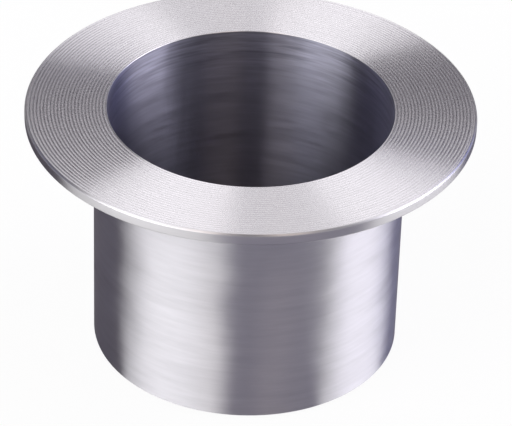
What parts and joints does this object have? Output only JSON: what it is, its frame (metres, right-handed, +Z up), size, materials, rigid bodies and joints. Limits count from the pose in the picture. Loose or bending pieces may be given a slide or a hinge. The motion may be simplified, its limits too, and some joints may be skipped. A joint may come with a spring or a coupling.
{
  "type": "lap joint stub end",
  "caption": "Turned stainless steel stub end: a short straight barrel with a bevelled weld end, a rounded neck and a wide flat lap whose face carries a fine spiral gasket finish.",
  "frame": {"origin": "centre of the weld end, on the plane that the fitting stands on", "axes": "+Z runs up the bore's axis from the weld end to the lap face; the fitting is round, so +X and +Y are free"},
  "size_m": [0.105, 0.105, 0.0635],
  "materials": {
    "turned_stainless_steel": "turned all over, with a fine spiral cut on the lap face"
  },
  "bodies": {
    "root": {"stub_end": "turned_stainless_steel"}
  },
  "joints": []
}
